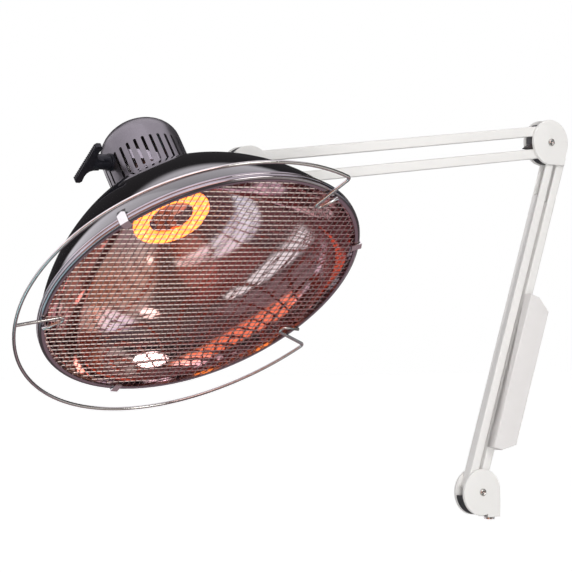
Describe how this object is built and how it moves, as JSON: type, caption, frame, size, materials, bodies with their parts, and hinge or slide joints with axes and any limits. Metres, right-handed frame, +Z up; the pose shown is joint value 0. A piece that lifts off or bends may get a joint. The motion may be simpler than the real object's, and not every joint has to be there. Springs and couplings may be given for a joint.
{
  "type": "infrared heat therapy lamp",
  "caption": "Infrared heat therapy lamp: dished head with ring heater, wire guard and bumper ring, on a double-bar swing arm with control box and mounting stud.",
  "frame": {"origin": "centre of the mounting stud's bottom face", "axes": "+Z up; the arm works in the XZ plane and reaches towards -X; hinge pins run along Y; the lamp face turns towards -Y as stored"},
  "size_m": [0.8056, 0.3338, 0.4993],
  "materials": {
    "arm_paint": "satin off-white powder coat",
    "box_shell": "satin off-white powder coat",
    "joint_black": "dark grey, satin",
    "swivel_black": "dark grey, satin",
    "bright_screw": "nickel plated",
    "pin_steel": "turned steel",
    "stud_steel": "zinc plated",
    "spring_steel": "oiled spring wire",
    "spring_plug": "sawn",
    "gland_plastic": "moulded",
    "circuit_board": "laminate with parts on it",
    "terminal_plastic": "moulded",
    "switch_black": "moulded",
    "dome_black": "gloss black enamel",
    "reflector_metal": "polished, faintly tinted",
    "rim_chrome": "bright",
    "wire_chrome": "bright",
    "guard_steel": "bright woven wire",
    "clip_steel": "bright spring steel",
    "housing_silver": "metallic silver-grey lacquer",
    "shield_aluminium": "plain",
    "handle_black": "satin",
    "bush_black": "moulded",
    "nipple_brass": "turned",
    "plate_ceramic": "unglazed",
    "heater_glass": "clear quartz, lit from inside",
    "heater_glow": "glowing winding"
  },
  "bodies": {
    "stud": {"mounting_stud": "stud_steel"},
    "base_bracket": {"base_core": "joint_black", "base_front_cover": "arm_paint", "base_rear_cover": "arm_paint", "base_joint_screw": "bright_screw", "base_joint_nut": "bright_screw", "base_link_pin": "pin_steel", "stud_keeper_screw": "bright_screw"},
    "lower_arm": {"lower_rear_bar": "arm_paint", "lower_balance_spring": "spring_steel", "lower_spring_plugs": "spring_plug", "control_box_shell": "box_shell", "control_box_lid": "box_shell", "control_box_lid_screws": "bright_screw", "cable_gland": "gland_plastic", "control_board": "circuit_board", "wire_terminals": "terminal_plastic", "switch_frame": "switch_black"},
    "rocker": {"switch_rocker": "switch_black"},
    "lower_link": {"lower_front_bar": "arm_paint"},
    "elbow": {"elbow_core": "joint_black", "elbow_front_cover": "arm_paint", "elbow_rear_cover": "arm_paint", "elbow_joint_screw": "bright_screw", "elbow_joint_nut": "bright_screw", "elbow_link_pins": "pin_steel"},
    "upper_arm": {"upper_bottom_bar": "arm_paint", "upper_balance_spring": "spring_steel", "upper_spring_plugs": "spring_plug"},
    "upper_link": {"upper_top_bar": "arm_paint"},
    "head_bracket": {"head_joint_core": "joint_black", "head_joint_front_cover": "arm_paint", "head_joint_rear_cover": "arm_paint", "head_joint_screw": "bright_screw", "head_joint_nut": "bright_screw", "head_link_pins": "pin_steel"},
    "head_swivel": {"head_swivel_fork": "swivel_black", "head_swivel_pin": "pin_steel", "spindle_end_washer": "bush_black", "spindle_wire_nipple": "nipple_brass"},
    "lamp_head": {"housing_shell": "housing_silver", "heat_shield": "shield_aluminium", "roll_bush": "bush_black", "handle_stem": "pin_steel", "handle_collar": "handle_black", "handle_grip": "handle_black", "dome_shell": "dome_black", "reflector": "reflector_metal", "rim_ring": "rim_chrome", "guard_ring": "rim_chrome", "guard_mesh": "guard_steel", "rim_clips": "clip_steel", "bumper_wire": "wire_chrome", "heater_tube": "heater_glass", "heater_coil": "heater_glow", "ceramic_plate": "plate_ceramic", "head_terminal_block": "plate_ceramic", "plate_nuts": "bright_screw"}
  },
  "joints": [
    {"name": "base_turn", "type": "hinge", "parent": "stud", "child": "base_bracket", "pos_m": [0, 0, 0.02], "axis": [0, 0, 1], "continuous": true},
    {"name": "lower_arm_lean", "type": "hinge", "parent": "base_bracket", "child": "lower_arm", "pos_m": [-0.0185, 0, 0.0343], "axis": [0, 1, 0], "range_deg": [-22, 17]},
    {"name": "lower_link_lean", "type": "hinge", "parent": "base_bracket", "child": "lower_link", "pos_m": [-0.033, 0, 0.0433], "axis": [0, 1, 0], "range_deg": [-22, 17]},
    {"name": "elbow_level", "type": "hinge", "parent": "lower_arm", "child": "elbow", "pos_m": [0.1164, 0, 0.4518], "axis": [0, 1, 0], "range_deg": [-17, 22]},
    {"name": "upper_arm_lift", "type": "hinge", "parent": "elbow", "child": "upper_arm", "pos_m": [0.0825, 0, 0.4566], "axis": [0, 1, 0], "range_deg": [-22, 50]},
    {"name": "upper_link_lift", "type": "hinge", "parent": "elbow", "child": "upper_link", "pos_m": [0.0825, 0, 0.485], "axis": [0, 1, 0], "range_deg": [-22, 50]},
    {"name": "head_bracket_level", "type": "hinge", "parent": "upper_arm", "child": "head_bracket", "pos_m": [-0.341, 0, 0.4015], "axis": [0, 1, 0], "range_deg": [-50, 22]},
    {"name": "head_swing", "type": "hinge", "parent": "head_bracket", "child": "head_swivel", "pos_m": [-0.393, 0, 0.4127], "axis": [0, 0, 1], "range_deg": [-30, 30]},
    {"name": "head_tilt", "type": "hinge", "parent": "head_swivel", "child": "lamp_head", "pos_m": [-0.48197, -0.00644, 0.4127], "axis": [0.9974, 0.0722, 0], "range_deg": [-52, 127]},
    {"name": "rocker_press", "type": "hinge", "parent": "lower_arm", "child": "rocker", "pos_m": [0.05852, 0, 0.19332], "axis": [0, 1, 0], "range_deg": [-16, 0]}
  ],
  "couplings": [
    {"joint": "lower_link_lean", "follows": "lower_arm_lean", "ratio": 1},
    {"joint": "elbow_level", "follows": "lower_arm_lean", "ratio": -1},
    {"joint": "upper_link_lift", "follows": "upper_arm_lift", "ratio": 1},
    {"joint": "head_bracket_level", "follows": "upper_arm_lift", "ratio": -1}
  ]
}
